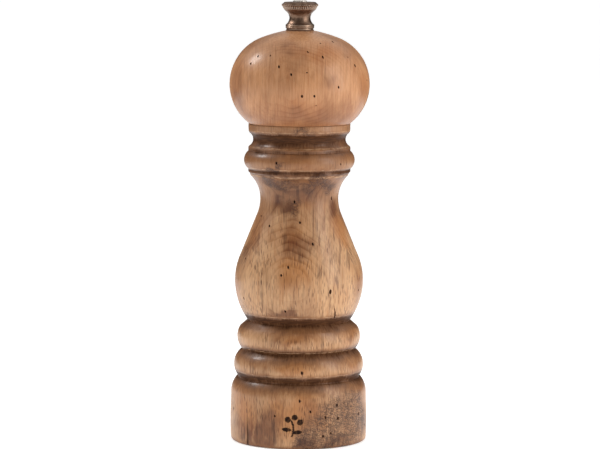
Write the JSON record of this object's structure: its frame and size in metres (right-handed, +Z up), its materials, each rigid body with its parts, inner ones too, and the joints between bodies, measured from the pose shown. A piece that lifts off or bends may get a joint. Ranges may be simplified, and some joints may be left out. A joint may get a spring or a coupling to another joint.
{
  "type": "pepper mill",
  "caption": "Turned beech pepper mill: a ball head turns a steel burr set inside a baluster column; finger knob on top, stepped grind selector under the foot.",
  "frame": {"origin": "centre of the foot's flat underside, on the table", "axes": "+Z up along the turning axis towards the knob; +X to the right and -Y towards the front"},
  "size_m": [0.0572, 0.0572, 0.18],
  "materials": {
    "beech": "satin wax, worn",
    "antique_bronze": "antique bronze, satin",
    "hardened_steel": "oiled, dark",
    "zinc_plated_steel": "bright",
    "spring_steel": "drawn wire",
    "black_nylon": "moulded",
    "white_nylon": "moulded",
    "brass": "turned",
    "leather": "matt"
  },
  "bodies": {
    "column": {"column_shell": "beech", "mechanism_housing": "black_nylon", "housing_screws": "zinc_plated_steel", "fixed_burr": "hardened_steel", "bridge": "zinc_plated_steel", "bridge_screws": "zinc_plated_steel", "click_spring": "spring_steel", "click_spring_rivet": "zinc_plated_steel"},
    "selector": {"selector_ring": "black_nylon"},
    "carrier": {"thrust_carrier": "hardened_steel", "pivot_washer": "brass"},
    "spindle": {"shaft": "zinc_plated_steel", "shaft_bush": "white_nylon", "shaft_circlips": "spring_steel", "burr_spring": "spring_steel"},
    "rotor": {"turning_burr": "hardened_steel"},
    "head": {"head_shell": "beech", "drive_plate": "zinc_plated_steel", "drive_plate_screws": "zinc_plated_steel"},
    "knob_seat": {"knob_washer": "leather"},
    "knob": {"knob": "antique_bronze"}
  },
  "joints": [
    {"name": "head_turn", "type": "hinge", "parent": "column", "child": "spindle", "pos_m": [0, 0, 0.0296], "axis": [0, 0, 1], "continuous": true},
    {"name": "head_lift", "type": "slide", "parent": "spindle", "child": "head", "axis": [0, 0, 1], "range_m": [0, 0.056]},
    {"name": "selector_turn", "type": "hinge", "parent": "column", "child": "selector", "pos_m": [0, 0, 0.0045], "axis": [0, 0, 1], "range_deg": [0, 90], "deforming": ["click_spring"]},
    {"name": "carrier_rise", "type": "slide", "parent": "column", "child": "carrier", "axis": [0, 0, 1], "range_m": [0, 0.0015]},
    {"name": "rotor_rise", "type": "slide", "parent": "spindle", "child": "rotor", "axis": [0, 0, 1], "range_m": [0, 0.0015], "deforming": ["burr_spring"]},
    {"name": "knob_rise", "type": "slide", "parent": "head", "child": "knob_seat", "axis": [0, 0, 1], "range_m": [0, 0.0082]},
    {"name": "knob_turn", "type": "hinge", "parent": "knob_seat", "child": "knob", "pos_m": [0, 0, 0.17], "axis": [0, 0, 1], "range_deg": [0, 3600]}
  ],
  "couplings": [
    {"joint": "carrier_rise", "follows": "selector_turn", "m_per_rad": 0.00095492},
    {"joint": "rotor_rise", "follows": "selector_turn", "m_per_rad": 0.00095492},
    {"joint": "knob_rise", "follows": "knob_turn", "m_per_rad": 0.00012732}
  ]
}
